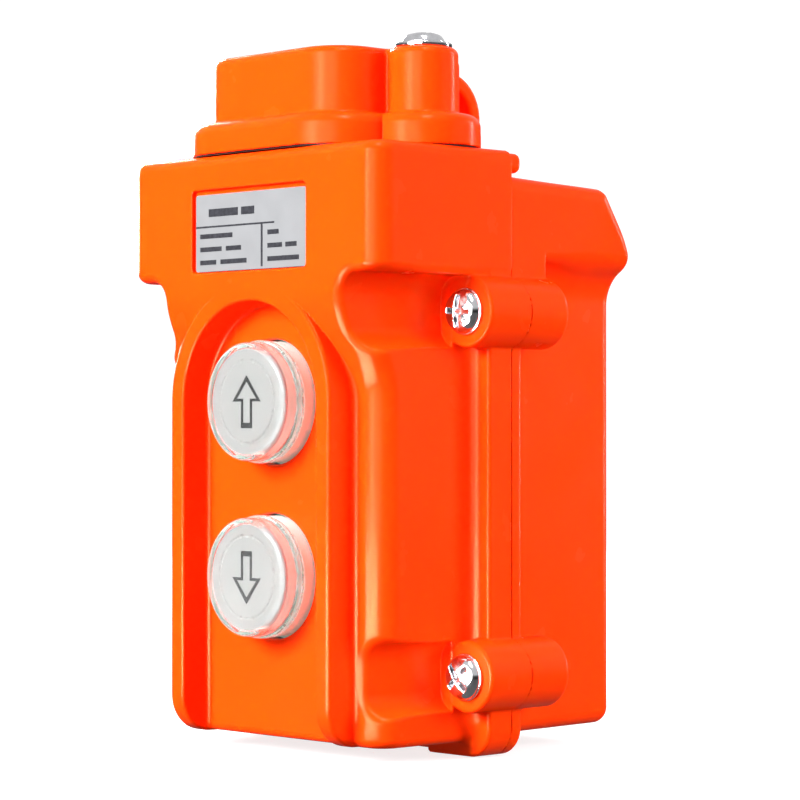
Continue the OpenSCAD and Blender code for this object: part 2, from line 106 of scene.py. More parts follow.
def add_world():
    """White behind the object, and dim light from everywhere that falls off downwards."""
    world = bpy.data.worlds.new("studio")
    world.use_nodes = True
    tree = world.node_tree
    tree.nodes.clear()
    out = tree.nodes.new("ShaderNodeOutputWorld")
    path = tree.nodes.new("ShaderNodeLightPath")
    split = tree.nodes.new("ShaderNodeSeparateXYZ")
    tree.links.new(tree.nodes.new("ShaderNodeTexCoord").outputs["Generated"], split.inputs[0])

    def sky(stops):
        """Background whose strength follows height: stops are pairs of height, -1 to 1, and strength."""
        level = tree.nodes.new("ShaderNodeMapRange")
        level.inputs["From Min"].default_value = -1
        tree.links.new(split.outputs["Z"], level.inputs["Value"])
        ramp = tree.nodes.new("ShaderNodeValToRGB")
        for i, (height, strength) in enumerate(stops):
            place = (height + 1) / 2
            stop = ramp.color_ramp.elements[i] if i < 2 else ramp.color_ramp.elements.new(place)
            stop.position = place
            stop.color = (strength, strength, strength, 1)
        tree.links.new(level.outputs["Result"], ramp.inputs["Fac"])
        shader = tree.nodes.new("ShaderNodeBackground")
        tree.links.new(ramp.outputs["Color"], shader.inputs["Color"])
        return shader.outputs[0]

    seen = tree.nodes.new("ShaderNodeBackground")
    seen.inputs["Color"].default_value = (1, 1, 1, 1)
    seen.inputs["Strength"].default_value = BACKDROP
    lit = sky(SKY_LIT)
    shine = sky(SKY_MIRRORED)
    for ray, other in (("Is Glossy Ray", shine), ("Is Camera Ray", seen.outputs[0])):
        mix = tree.nodes.new("ShaderNodeMixShader")
        tree.links.new(path.outputs[ray], mix.inputs["Fac"])
        tree.links.new(lit, mix.inputs[1])
        tree.links.new(other, mix.inputs[2])
        lit = mix.outputs[0]
    tree.links.new(lit, out.inputs["Surface"])
    scene.world = world


def add_floor():
    """Pale plain floor that bounces no coloured light back and is not mirrored."""
    bm = bmesh.new()
    bmesh.ops.create_circle(bm, cap_ends=True, segments=64, radius=FLOOR_RADIUS)
    mesh = bpy.data.meshes.new("floor")
    bm.to_mesh(mesh)
    bm.free()
    floor = bpy.data.objects.new("floor", mesh)
    floor.location.z = FLOOR_Z - FLOOR_GAP
    scene.collection.objects.link(floor)
    material = bpy.data.materials.new("floor")
    material.use_nodes = True
    shader = material.node_tree.nodes["Principled BSDF"]
    shader.inputs["Base Color"].default_value = (FLOOR_GREY, FLOOR_GREY, FLOOR_GREY, 1)
    shader.inputs["Roughness"].default_value = 0.8
    shader.inputs["Emission Color"].default_value = (1, 1, 1, 1)
    shader.inputs["Emission Strength"].default_value = FLOOR_GLOW
    mesh.materials.append(material)
    floor.visible_diffuse = False
    floor.visible_glossy = False


LIGHT_AIM = Vector((0, 0, -0.075))
# Name, turn from the front and lift in degrees, distance and size in metres, watts, and what sees the light
LIGHTS = (("key", -10, 22, 0.9, (0.4, 0.4), 33, "diffuse"),
          ("fill", 122, 14, 0.9, (0.45, 0.6), 11, "diffuse"),
          ("rear_left", -120, 20, 0.9, (0.5, 0.5), 12, "diffuse"),
          ("front_box", 14, 8, 0.9, (0.9, 0.6), 34, "glossy"),
          ("front_strip", 4, 8, 0.9, (0.2, 0.7), 17, "glossy"),
          ("low_card", 8, -24, 0.14, (0.12, 0.05), 2.2, "glossy"),
          ("rear_strip", 160, 10, 0.9, (0.05, 0.5), 4, "glossy"),
          ("left_strip", -110, 20, 0.9, (0.1, 0.5), 14, "glossy"),
          ("top_strip", 60, 62, 0.9, (0.1, 0.4), 10, "glossy"))


def add_studio():
    """Key from the front left, fill from behind on the right: between them the corners fall darker."""
    for name, turn, lift, reach, size, watts, seen in LIGHTS:
        a, e = math.radians(turn), math.radians(lift)
        way = Vector((math.sin(a) * math.cos(e), -math.cos(a) * math.cos(e), math.sin(e)))
        light = add_light(name, LIGHT_AIM + reach * way, LIGHT_AIM, size, watts)
        light.visible_camera = False
        light.visible_glossy = seen == "glossy"
        light.visible_diffuse = seen == "diffuse"
        light.visible_transmission = seen == "diffuse"
        if seen == "glossy":
            light.light_linking.receiver_collection = shiny
    scene.view_settings.view_transform = "Standard"


# ---------------------------------------------------------------- materials


class Paint:
    """A material made of noise-driven colour, roughness and bump round one Principled shader."""

    def __init__(self, name, colour, roughness, **sockets):
        self.name = name
        self.material = bpy.data.materials.new(name)
        self.material.use_nodes = True
        self.tree = self.material.node_tree
        self.shader = self.tree.nodes["Principled BSDF"]
        self.colour = colour
        self.roughness = roughness
        self.shader.inputs["Base Color"].default_value = (*colour, 1)
        self.shader.inputs["Roughness"].default_value = roughness
        for key, value in sockets.items():
            self.shader.inputs[key.replace("_", " ")].default_value = value
        self.place = self.tree.nodes.new("ShaderNodeTexCoord").outputs["Object"]

    def noise(self, size_mm, detail=3.0):
        """Cloudy noise whose lumps are about size_mm across."""
        node = self.tree.nodes.new("ShaderNodeTexNoise")
        node.inputs["Scale"].default_value = 1000 / size_mm
        node.inputs["Detail"].default_value = detail
        self.tree.links.new(self.place, node.inputs["Vector"])
        return node.outputs["Fac"]

    def ramp(self, value, low, high, start=0.3, stop=0.7):
        """Spread a value between two colours."""
        node = self.tree.nodes.new("ShaderNodeValToRGB")
        node.color_ramp.elements[0].position = start
        node.color_ramp.elements[0].color = (*low, 1)
        node.color_ramp.elements[1].position = stop
        node.color_ramp.elements[1].color = (*high, 1)
        self.tree.links.new(value, node.inputs["Fac"])
        return node.outputs["Color"]

    def tint(self, size_mm, spread):
        """Vary the base colour by spread, as a share of it."""
        low = [max(0, c * (1 - spread)) for c in self.colour]
        high = [min(1, c * (1 + spread)) for c in self.colour]
        self.tree.links.new(self.ramp(self.noise(size_mm), low, high), self.shader.inputs["Base Color"])
        return self

    def gloss(self, size_mm, spread):
        """Vary the roughness by spread on both sides."""
        node = self.tree.nodes.new("ShaderNodeMapRange")
        node.inputs["From Min"].default_value = 0.3
        node.inputs["From Max"].default_value = 0.7
        node.inputs["To Min"].default_value = max(0.02, self.roughness - spread)
        node.inputs["To Max"].default_value = self.roughness + spread
        self.tree.links.new(self.noise(size_mm), node.inputs["Value"])
        self.tree.links.new(node.outputs["Result"], self.shader.inputs["Roughness"])
        return self

    def bump(self, size_mm, height_mm, strength=0.3, detail=2.0):
        """Raise lumps of size_mm by height_mm."""
        node = self.tree.nodes.new("ShaderNodeBump")
        node.inputs["Strength"].default_value = strength
        node.inputs["Distance"].default_value = height_mm * MM
        self.tree.links.new(self.noise(size_mm, detail), node.inputs["Height"])
        self.tree.links.new(node.outputs["Normal"], self.shader.inputs["Normal"])
        return self

    def frost(self, start, end, weight):
        """Turn a clear round piece cloudy towards its rim: start and end are radii over the diameter."""
        place = self.tree.nodes.new("ShaderNodeTexCoord").outputs["Generated"]
        middle = self.tree.nodes.new("ShaderNodeVectorMath")
        middle.operation = "SUBTRACT"
        middle.inputs[1].default_value = (0.5, 0.5, 0.5)
        flat = self.tree.nodes.new("ShaderNodeVectorMath")
        flat.operation = "MULTIPLY"
        flat.inputs[1].default_value = (1, 0, 1)
        radius = self.tree.nodes.new("ShaderNodeVectorMath")
        radius.operation = "LENGTH"
        node = self.tree.nodes.new("ShaderNodeMapRange")
        node.inputs["From Min"].default_value = start
        node.inputs["From Max"].default_value = end
        node.inputs["To Min"].default_value = 1
        node.inputs["To Max"].default_value = weight
        self.tree.links.new(place, middle.inputs[0])
        self.tree.links.new(middle.outputs["Vector"], flat.inputs[0])
        self.tree.links.new(flat.outputs["Vector"], radius.inputs[0])
        self.tree.links.new(radius.outputs["Value"], node.inputs["Value"])
        self.tree.links.new(node.outputs["Result"], self.shader.inputs["Transmission Weight"])
        return self


def make_materials():
    shell = Paint("orange_shell", (1.0, 0.043, 0.0012), 0.24, Specular_IOR_Level=0.06,
                  Specular_Tint=(1, 0.62, 0.3, 1), Subsurface_Weight=0.25,
                  Subsurface_Scale=0.003, Subsurface_Radius=(1, 0.06, 0.01))
    shell.tint(26, 0.03).gloss(9, 0.04).bump(1.6, 0.012, 0.25)
    rubber = Paint("black_rubber", (0.02, 0.02, 0.021), 0.6, Specular_IOR_Level=0.3)
    rubber.tint(4, 0.25).gloss(2, 0.1).bump(0.5, 0.02, 0.4)
    chrome = Paint("bright_screw", (0.55, 0.55, 0.57), 0.13, Metallic=1.0)
    chrome.tint(2, 0.08).gloss(1.2, 0.05).bump(0.5, 0.01, 0.15)
    plated = Paint("plated_steel", (0.62, 0.61, 0.57), 0.32, Metallic=1.0)
    plated.tint(3, 0.1).gloss(1.5, 0.08).bump(0.6, 0.02, 0.2)
    brass = Paint("brass", (0.72, 0.5, 0.2), 0.3, Metallic=1.0)
    brass.tint(3, 0.1).gloss(1.5, 0.08).bump(0.6, 0.02, 0.2)
    silver = Paint("silver_contact", (0.86, 0.85, 0.82), 0.25, Metallic=1.0)
    silver.tint(1.5, 0.06).gloss(1, 0.06).bump(0.4, 0.01, 0.2)
    spring = Paint("spring_steel", (0.5, 0.5, 0.51), 0.28, Metallic=1.0)
    spring.tint(2, 0.1).gloss(1, 0.08).bump(0.3, 0.01, 0.2)
    plate = Paint("label_plate", (0.152, 0.154, 0.159), 0.42, Specular_IOR_Level=0.2)
    plate.tint(7, 0.05).gloss(3, 0.06).bump(0.5, 0.01, 0.15)
    ink = Paint("label_ink", (0.022, 0.022, 0.026), 0.5, Specular_IOR_Level=0.2)
    ink.tint(0.8, 0.3).gloss(1, 0.1)
    grey = Paint("grey_moulding", (0.1, 0.105, 0.11), 0.42)
    grey.tint(8, 0.08).gloss(4, 0.06).bump(0.7, 0.02, 0.25)
    dark = Paint("black_moulding", (0.022, 0.022, 0.024), 0.38)
    dark.tint(5, 0.2).gloss(3, 0.06).bump(0.7, 0.02, 0.25)
    clear = Paint("clear_lens", (0.93, 0.95, 0.94), 0.1, Transmission_Weight=1.0, IOR=1.49,
                  Specular_IOR_Level=0.12)
    clear.gloss(5, 0.02).bump(3, 0.004, 0.1).frost(0.425, 0.45, 0.93)
    legend = Paint("white_legend", (0.4, 0.395, 0.39), 0.4, Specular_IOR_Level=0.3)
    legend.tint(6, 0.03).gloss(3, 0.05).bump(0.6, 0.005, 0.1)
    arrow = Paint("arrow_ink", (0.03, 0.03, 0.032), 0.5, Specular_IOR_Level=0.3)
    arrow.tint(1, 0.15).gloss(1, 0.06)
    # The cap's faint greenish emission is painted light: a glow that lifts the cap and its shaded sides,
    # though nothing inside it lights up
    cap = Paint("milky_cap", (0.45, 0.68, 0.66), 0.3, Specular_IOR_Level=0.3, Emission_Strength=1.0,
                Emission_Color=(0.14, 0.17, 0.14, 1))
    cap.tint(6, 0.04).gloss(4, 0.05).bump(1, 0.006, 0.15)
    paints = (shell, rubber, chrome, plated, brass, silver, spring, plate, ink, grey, dark, clear, legend,
              arrow, cap)
    return {paint.name: paint.material for paint in paints}


# ---------------------------------------------------------------- distance fields, in millimetres


def join(a, b, r):
    """Union with a concave fillet of radius r."""
    return np.maximum(r, np.minimum(a, b)) - np.hypot(np.maximum(r - a, 0), np.maximum(r - b, 0))


def meet(a, b, r):
    """Intersection with a rounded edge of radius r."""
    return -join(-a, -b, r)


def cut(a, b, r):
    """Solid a without b, its new edge rounded by r."""
    return meet(a, -b, r)


def rect(u, v, u0, u1, v0, v1, r):
    """Rectangle in two coordinates with corner radius r."""
    p = np.abs(u - (u0 + u1) / 2) - (u1 - u0) / 2 + r
    q = np.abs(v - (v0 + v1) / 2) - (v1 - v0) / 2 + r
    return np.hypot(np.maximum(p, 0), np.maximum(q, 0)) + np.minimum(np.maximum(p, q), 0) - r


def slab(u, u0, u1):
    """Everything between two planes."""
    return np.maximum(u0 - u, u - u1)


def ease(t):
    """Smooth step from 0 to 1."""
    t = np.clip(t, 0, 1)
    return t * t * (3 - 2 * t)


# Main sizes of the housing
SHOULDER_X = 39.2
BODY_X = 33.0
SHOULDER_Y = -25.0
BODY_Y = -18.0
PARTING = 13.1
BACK = 52.0
TOP = -21.0
BOTTOM = -142.9
SHOULDER_Z = -50.0
REAR_SHOULDER_Z = -52.0
FLANGE_Y = (6.5, 16.2)
FLANGE_Z = -146.0
LIP_BACK = 17.8
BOSS_X = 37.75
BOSS_Z = (-54.6, -129.0)
BOSS_R = 7.4
BOSS_Y = (1.3, 24.6)
SLOT_X = 30.4
BUTTON_Z = (-72.9, -109.2)
ARCH_R = (20.9, 25.1)
LOBE_X = 26.5
WALL = 3.0
CORNER_R = 5.3
HOLE_R = 13.1
LABEL_RECESS = (-18, 18, -45.7, -28.3, 1)
LABEL_DEPTH = 1.2
PLATE = (-SHOULDER_X, SHOULDER_X, FLANGE_Z, -30, 6)
DRIP_LIP = (-37.5, 37.5, -25.4, -21.3, 1.6)
ROOM = (-30, 30, -138.5, -31)
UPPER_ROOM = (-36.2, 36.2, -44, -31, 2)
HEAD_POCKET = (-18, 18, -34, -24.5, 1)
SEAL_LINE = (-32.5, 32.5, -141.3, -28.6, 5)
SEAL_HALF = 1
SEAL_DEPTH = 1.2
PARTING_LAP = 0.02
PARTING_EDGE = 0.05
CORD_ENTRY_R = 9
INSERT_R = 3.45
SHANK_HOLE_R = 2.8
POST_X = 20.5
POST_Z = (-116.5, -65.5)
POST_Y = (-15.5, -4)
POST_R = (3.2, 1.55)
CRADLE = (-15, 15, -42, -34, 0.5)
CRADLE_Y = (-22.5, -1)
CORD_R = 5.5
SADDLE_SCREW = (11.3, -38)


def bosses(x, z, r):
    """Cylinders along Y at the four housing screws."""
    return np.minimum(np.hypot(x - BOSS_X, z - BOSS_Z[0]), np.hypot(x - BOSS_X, z - BOSS_Z[1])) - r


def front_shell(x, y, z):
    x = np.abs(x)
    draft = 1 / 31
    side = (x - BODY_X) - (y - BODY_Y) * draft
    outline = join(meet(x - SHOULDER_X, SHOULDER_Z - z, 5.0), side, 6.5)
    face = SHOULDER_Y + (BODY_Y - SHOULDER_Y) * ease((-50 - z) / 22)
    solid = meet(outline, face - y, CORNER_R)
    solid = meet(solid, z - TOP, 2.4)
    solid = meet(solid, BOTTOM - z, 2.0)
    # Flange, with its fillet against the body
    plate = rect(x, z, *PLATE)
    plate = meet(plate, FLANGE_Y[0] - y, 0.8)
    fillet = 1.4 + 2.1 * ease((z + 143.5) / 5)
    lower = join(meet(side, BOTTOM - z, 2.0), plate, fillet)
    lower = np.maximum(np.maximum(lower, z + 41), -y)
    solid = np.minimum(solid, lower)
    # Screwdriver channels and bosses
    deeper = 2.6 * ease((-3 - y) / 15)
    floor = SLOT_X - deeper
    slot = np.minimum(np.abs(z - BOSS_Z[0]), np.abs(z - BOSS_Z[1])) - BOSS_R
    channel = np.maximum(meet(floor - x, slot, 4.5), y - BOSS_Y[0])
    solid = cut(solid, channel, 0.4 + 1.7 * ease((-8 - y) / 12))
    solid = join(solid, meet(bosses(x, z, BOSS_R), BOSS_Y[0] - y, 0.8), 0.5)
    # Arch rim round the buttons
    ra = np.where(z > BUTTON_Z[0], np.hypot(x, z - BUTTON_Z[0]), x)
    arch = meet(ra - ARCH_R[1], meet(SHOULDER_Y - y, BOTTOM - z, 8.0), 0.9)
    blend = 1.5 * ease((-60 - z) / 12) * ease((z + 142) / 5)
    solid = join(solid, arch, blend)
    panel = meet(BODY_Y - y, BOTTOM - z, 2.0)
    solid = cut(solid, meet(ra - ARCH_R[0], -panel, 1.0), 0.7)
    # Parting plane, and the drip lip that reaches over the rear shell
    solid = meet(solid, y - PARTING - PARTING_LAP, PARTING_EDGE)
    lip = rect(x, z, *DRIP_LIP)
    lip = meet(np.maximum(lip, 9 - y), y - LIP_BACK, 0.9)
    solid = np.minimum(solid, lip)
    # Label recess and button holes
    recess = rect(x, z, *LABEL_RECESS)
    solid = cut(solid, np.maximum(recess, y - SHOULDER_Y - LABEL_DEPTH), 0.35)
    for place in BUTTON_Z:
        hole = np.maximum(np.hypot(x, z - place) - HOLE_R, y + 10)
        solid = cut(solid, hole, 0.5)
    # Room for the works
    room = np.maximum(rect(x, z, *ROOM, 1), BODY_Y + WALL - y)
    room = np.maximum(room, y - PARTING - 5)
    upper = np.maximum(rect(x, z, *UPPER_ROOM), slab(y, SHOULDER_Y + WALL, BOSS_Y[0]))
    pocket = np.maximum(rect(x, z, *HEAD_POCKET), slab(y, -20, 8))
    room = np.minimum(np.minimum(room, upper), pocket)
    room = meet(room, -bosses(x + deeper, z, 10.4), 0.5)
    solid = cut(solid, room, 0.3)
    entry = np.maximum(np.hypot(x, y) - CORD_ENTRY_R, slab(z, -33, -18))
    solid = cut(solid, entry, 0.4)
    solid = cut(solid, np.maximum(np.hypot(x - LOBE_X, y) - INSERT_R, slab(z, -30.5, -18)), 0.2)
    solid = cut(solid, np.maximum(bosses(x, z, SHANK_HOLE_R), -y), 0.2)
    ring = np.abs(rect(x, z, *SEAL_LINE)) - SEAL_HALF
    solid = cut(solid, np.maximum(ring, PARTING - SEAL_DEPTH - y), 0.15)
    # Posts for the contact block, and the block that the cord lies in
    for place in POST_Z:
        post = np.hypot(x - POST_X, z - place)
        tube = np.maximum(post - POST_R[0], POST_R[1] - post)
        solid = np.minimum(solid, np.maximum(tube, slab(y, *POST_Y)))
    cradle = np.maximum(rect(x, z, *CRADLE), slab(y, *CRADLE_Y))
    cradle = cut(cradle, np.hypot(x, y) - CORD_R, 0.3)
    screw_hole = np.hypot(x - SADDLE_SCREW[0], z - SADDLE_SCREW[1]) - POST_R[1]
    cradle = cut(cradle, np.maximum(screw_hole, -13 - y), 0.15)
    return np.minimum(solid, cradle)


STEP_Y = 23.6
ROOF = (-26.2, 0.0398)
SLOPE_TOP = (42.9, -27.3)
SLOPE = (0.833, 0.553)


def rear_shell(x, y, z):
    x = np.abs(x)
    side = (x - BODY_X - 1) + (y - PARTING) * (1 / 18)
    high = meet(meet(x - SHOULDER_X, REAR_SHOULDER_Z - z, 4.0), y - STEP_Y, 0.5)
    fade = ease((y - 25) / 14)
    low = join(meet(x - SHOULDER_X, -43.4 - 0.6 * fade - z, 2 + 1.5 * fade), side, 6 + 2 * fade)
    outline = np.minimum(high, low)
    roof = (z - ROOF[0]) * math.sqrt(1 - ROOF[1] ** 2) + (y - PARTING) * ROOF[1]
    slant = (y - SLOPE_TOP[0]) * SLOPE[0] + (z - SLOPE_TOP[1]) * SLOPE[1]
    profile = meet(meet(meet(roof, slant, 1.6), y - BACK, 4.5), BOTTOM + 0.7 - z, 3.5)
    solid = meet(outline, profile, 3.2)
    plate = rect(x, z, *PLATE)
    plate = meet(plate, y - FLANGE_Y[1], 0.8)
    lower = np.maximum(np.maximum(join(meet(side, BOTTOM + 0.7 - z, 3.5), plate, 1.6), z + 41), y - 22)
    solid = np.minimum(solid, lower)
    solid = join(solid, meet(bosses(x, z, BOSS_R), y - BOSS_Y[1], 1.2), 0.6)
    solid = meet(solid, PARTING - PARTING_LAP - y, PARTING_EDGE)
    room_profile = meet(meet(roof + WALL, slant + WALL, 1.5), y - BACK + WALL, 3.0)
    room = np.maximum(rect(x, z, *ROOM, 2), PARTING - 5 - y)
    solid = cut(solid, meet(room, room_profile, 1.0), 0.3)
    return cut(solid, np.maximum(bosses(x, z, INSERT_R), y - 22.5), 0.2)


HEAD_TOP_R = 1.7
PLINTH_Z = (-20.7, -14.0)
LUG = (30.8, -10.0)
LUG_R = (10, 6.7)
LUG_HALF = 3
LOBE_R = 7.3
HEAD_HALF = (22.35, 20.5)
PLINTH_GROWS = 4.6
GROMMET_R = 12
THROAT_R = 9.4


def cable_head(x, y, z):
    x = np.abs(x)
    lobe = np.hypot(x - LOBE_X, y)
    middle = rect(x, y, -HEAD_HALF[0], HEAD_HALF[0], -HEAD_HALF[1], HEAD_HALF[1], 10)
    outline = join(middle, lobe - LOBE_R, 1.2)
    upper = meet(outline, z, HEAD_TOP_R)
    plinth = meet(meet(outline - PLINTH_GROWS, z - PLINTH_Z[1], 2.5), PLINTH_Z[0] - z, 0.1)
    solid = join(np.maximum(upper, PLINTH_Z[0] + 2 - z), plinth, 0.8)
    radius = np.hypot(y - LUG[0], z - LUG[1])
    ring = meet(radius - LUG_R[0], x - LUG_HALF, 1.0)
    web = meet(rect(y, z, 18, 24.5, -17.5, -4, 0.5), x - LUG_HALF, 1.0)
    lug = cut(join(ring, web, 1.5), np.maximum(radius - LUG_R[1], x - 4), 1.0)
    solid = join(solid, lug, 1.2)
    solid = np.maximum(solid, LUG_R[1] - np.where(x < 4, radius, 99))
    solid = cut(solid, np.maximum(np.hypot(x, y) - GROMMET_R, z + 4), 0.3)
    solid = cut(solid, np.maximum(np.hypot(x, y) - THROAT_R, -10 - z), 0.6)
    return cut(solid, lobe - SHANK_HOLE_R, 0.2)


LENS_FRONT = -25.9
LENS_R = 12.3
LENS_BORE = 11.25
RIDGE = (12.8, -22.3, -20.4)
LEGEND_Y = (-24.5, -23.8)
LEGEND_R = 11.1
CAP_Y = (-20.4, -11.5)
CAP_R = 12.6
CAP_FLANGE_R = 15
CAP_BORE_R = 10.5


def lens(x, y, z):
    """Clear cup with a ridge round its foot. Round pieces are drawn about the Y axis."""
    r = np.hypot(x, z)
    solid = meet(r - LENS_R, LENS_FRONT - y, 0.9)
    solid = join(solid, meet(r - RIDGE[0], RIDGE[1] - y, 0.6), 0.4)
    solid = meet(solid, y - RIDGE[2], 0.3)
    inside = meet(r - LENS_BORE, LENS_FRONT + 1.2 - y, 0.4)
    return cut(solid, inside, 0.1)


def legend(x, y, z):
    """White disc with a shallow ring pressed round its arrow."""
    r = np.hypot(x, z)
    solid = meet(r - LEGEND_R, slab(y, *LEGEND_Y), 0.15)
    return cut(solid, meet(np.abs(r - 8.6) - 0.25, y - LEGEND_Y[0] - 0.12, 0.05), 0.05)


def cap(x, y, z):
    """Hollow push cap: a collar inside the lens, the body, and the flange that stops it."""
    r = np.hypot(x, z)
    collar = np.maximum(r - LEGEND_R, slab(y, LEGEND_Y[1], CAP_Y[0] + 1))
    body = meet(r - CAP_R, slab(y, *CAP_Y), 0.5)
    flange = meet(r - CAP_FLANGE_R, slab(y, CAP_Y[1] - 2, CAP_Y[1]), 0.4)
    solid = join(np.minimum(collar, body), flange, 0.5)
    return cut(solid, np.maximum(r - CAP_BORE_R, -18.5 - y), 0.3)


SCREW_HEAD = (4.6, 2.4)
SCREW_R = 2.5
PITCH = 0.8
CROWN_R = 10
RECESS_DEPTH = 1.9
THREAD_DEPTH = 0.42


def screw(length):
    """Cross-recess pan-head screw that stands on the origin with its head towards -Y."""

    def field(x, y, z):
        r = np.hypot(x, z)
        up = -y
        crown = np.hypot(r, up - SCREW_HEAD[1] + CROWN_R) - CROWN_R
        head = meet(meet(r - SCREW_HEAD[0], crown, 1.3), -up, 0.15)
        depth = SCREW_HEAD[1] - up
        reach = SCREW_HEAD[0] * 0.78 - 0.55 * depth
        half = 0.62 - 0.06 * depth
        for u, v in ((x, z), (z, x)):
            slot = meet(np.abs(u) - half, np.abs(v) - reach, 0.2)
            head = cut(head, np.maximum(slot, depth - RECESS_DEPTH), 0.12)
        turn = np.arctan2(z, x) / (2 * math.pi)
        saw = np.abs(((y / PITCH - turn) % 1) - 0.5) * 2
        groove = THREAD_DEPTH * saw * ease((y - 2) / 1.5)
        shank = meet(r - SCREW_R + groove, y - length, 0.5)
        return np.minimum(head, np.maximum(shank, -0.3 - y))

    return field


def washer(r_out, r_in, thick):
    """Flat ring whose far face lies on the origin."""
    def field(x, y, z):
        r = np.hypot(x, z)
        flat = np.abs(y + thick / 2) - thick / 2
        return meet(meet(r - r_out, flat, 0.22), r_in - r, 0.2)

    return field


# ---------------------------------------------------------------- meshing a field


CORNERS = [(i, j, k) for i in (0, 1) for j in (0, 1) for k in (0, 1)]
EDGES = [(a, b) for a in CORNERS for b in CORNERS if a < b and sum(abs(p - q) for p, q in zip(a, b)) == 1]


def surface_net(field, low, high, h, mirrored):
    """Quads on the zero surface of a field, on a grid of step h: mirrored builds the +X half twice."""
    start = [-h / 2 if mirrored else low[0] - 1.5 * h, low[1] - 1.5 * h, low[2] - 1.5 * h]
    axes = [np.arange(s, e + 2 * h, h) for s, e in zip(start, high)]
    values = field(axes[0][:, None, None], axes[1][None, :, None], axes[2][None, None, :])
    values = values.astype(np.float32)
    inside = values < 0
    shape = [n - 1 for n in inside.shape]
    count = np.zeros(shape, np.uint8)
    for i, j, k in CORNERS:
        count += inside[i:i + shape[0], j:j + shape[1], k:k + shape[2]]
    active = (count > 0) & (count < 8)
    cells = np.argwhere(active)
    index = np.full(shape, -1, np.int64)
    index[active] = np.arange(len(cells))
    total = np.zeros((len(cells), 3))
    hits = np.zeros(len(cells))
    for a, b in EDGES:
        da = values[cells[:, 0] + a[0], cells[:, 1] + a[1], cells[:, 2] + a[2]]
        db = values[cells[:, 0] + b[0], cells[:, 1] + b[1], cells[:, 2] + b[2]]
        crossed = (da < 0) != (db < 0)
        t = np.where(crossed, da / np.where(crossed, da - db, 1), 0)
        total += np.where(crossed[:, None], np.array(a) + t[:, None] * (np.array(b) - a), 0)
        hits += crossed
    points = (cells + total / hits[:, None]) * h + start
    quads = []
    for axis in range(3):
        u, v = (axis + 1) % 3, (axis + 2) % 3
        first = np.take(inside, range(inside.shape[axis] - 1), axis)
        second = np.take(inside, range(1, inside.shape[axis]), axis)
        at = np.argwhere(first != second)
        at = at[(at[:, u] > 0) & (at[:, v] > 0) & (at[:, u] < shape[u]) & (at[:, v] < shape[v])]
        outward = first[at[:, 0], at[:, 1], at[:, 2]]
        du = np.eye(3, dtype=int)[u]
        dv = np.eye(3, dtype=int)[v]
        loop = [index[tuple((at - s).T)] for s in (0 * du, du, du + dv, dv)]
        loop = np.stack(loop, 1)
        loop[~outward] = loop[~outward][:, ::-1]
        quads.append(loop)
    quads = np.concatenate(quads)
    if mirrored:
        middle = cells[:, 0] == 0
        points[middle, 0] = 0
        other = np.arange(len(points))
        other[~middle] = len(points) + np.arange((~middle).sum())
        points = np.concatenate([points, points[~middle] * (-1, 1, 1)])
        quads = np.concatenate([quads, other[quads][:, ::-1]])
    return points, quads


def gradient(field, points, e):
    """Slope of the field at each point, from steps of e to both sides."""
    x, y, z = points.T
    return np.stack([field(x + e, y, z) - field(x - e, y, z), field(x, y + e, z) - field(x, y - e, z),
                     field(x, y, z + e) - field(x, y, z - e)], 1) / (2 * e)


def settle(field, points, reach, rounds=2):
    """Move points onto the zero surface, none further than reach."""
    for _ in range(rounds):
        slope = gradient(field, points, 0.02)
        step = field(*points.T) / np.maximum((slope ** 2).sum(1), 0.2)
        points = points - slope * np.clip(step, -reach, reach)[:, None]
    return points


def new_mesh(name, points, faces):
    """A mesh from points in millimetres and faces of one size."""
    mesh = bpy.data.meshes.new(name)
    mesh.vertices.add(len(points))
    mesh.vertices.foreach_set("co", (points * MM).astype(np.float32).ravel())
    mesh.loops.add(faces.size)
    mesh.loops.foreach_set("vertex_index", faces.astype(np.int32).ravel())
    mesh.polygons.add(len(faces))
    mesh.polygons.foreach_set("loop_start", np.arange(0, faces.size, faces.shape[1], dtype=np.int32))
    mesh.update(calc_edges=True)
    mesh.validate()
    return mesh


def applied(mesh, kind, **settings):
    """The mesh after one modifier."""
    carrier = bpy.data.objects.new("carrier", mesh)
    scene.collection.objects.link(carrier)
    modifier = carrier.modifiers.new("work", kind)
    for key, value in settings.items():
        setattr(modifier, key, value)
    result = bpy.data.meshes.new_from_object(carrier.evaluated_get(bpy.context.evaluated_depsgraph_get()))
    bpy.data.objects.remove(carrier)
    return result


def read_points(mesh):
    """Vertex places in millimetres."""
    co = np.empty(len(mesh.vertices) * 3, np.float32)
    mesh.vertices.foreach_get("co", co)
    return co.reshape(-1, 3).astype(float) / MM


def field_mesh(name, field, low, high, h, share=1.0, mirrored=True):
    """Closed mesh of a field: netted, thinned to a share of its faces, and smooth-shaded by the field."""
    points, quads = surface_net(field, low, high, h, mirrored)
    points = settle(field, points, 0.5 * h)
    mesh = new_mesh(name, points, quads)
    if share < 1:
        mesh = applied(mesh, "DECIMATE", ratio=share)
        points = settle(field, read_points(mesh), 0.25 * h, 1)
        mesh.vertices.foreach_set("co", (points * MM).astype(np.float32).ravel())
    mesh.polygons.foreach_set("use_smooth", np.ones(len(mesh.polygons), bool))
    normals = gradient(field, points, 0.12)
    normals /= np.maximum(np.linalg.norm(normals, axis=1), 1e-6)[:, None]
    mesh.normals_split_custom_set_from_vertices(normals.tolist())
    mesh.update()
    return mesh


# ---------------------------------------------------------------- pieces

materials = make_materials()


def add_piece(name, mesh, body, slot, node=None):
    """One visible piece on a body, with its slot's material, in place of a CAD node if one is named."""
    piece = bpy.data.objects.new(name, mesh)
    scene.collection.objects.link(piece)
    mesh.materials.clear()
    mesh.materials.append(materials[slot])
    if slot in SHINY_SLOTS:
        shiny.objects.link(piece)
    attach(piece, body)
    if node:
        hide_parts(node)
    return piece


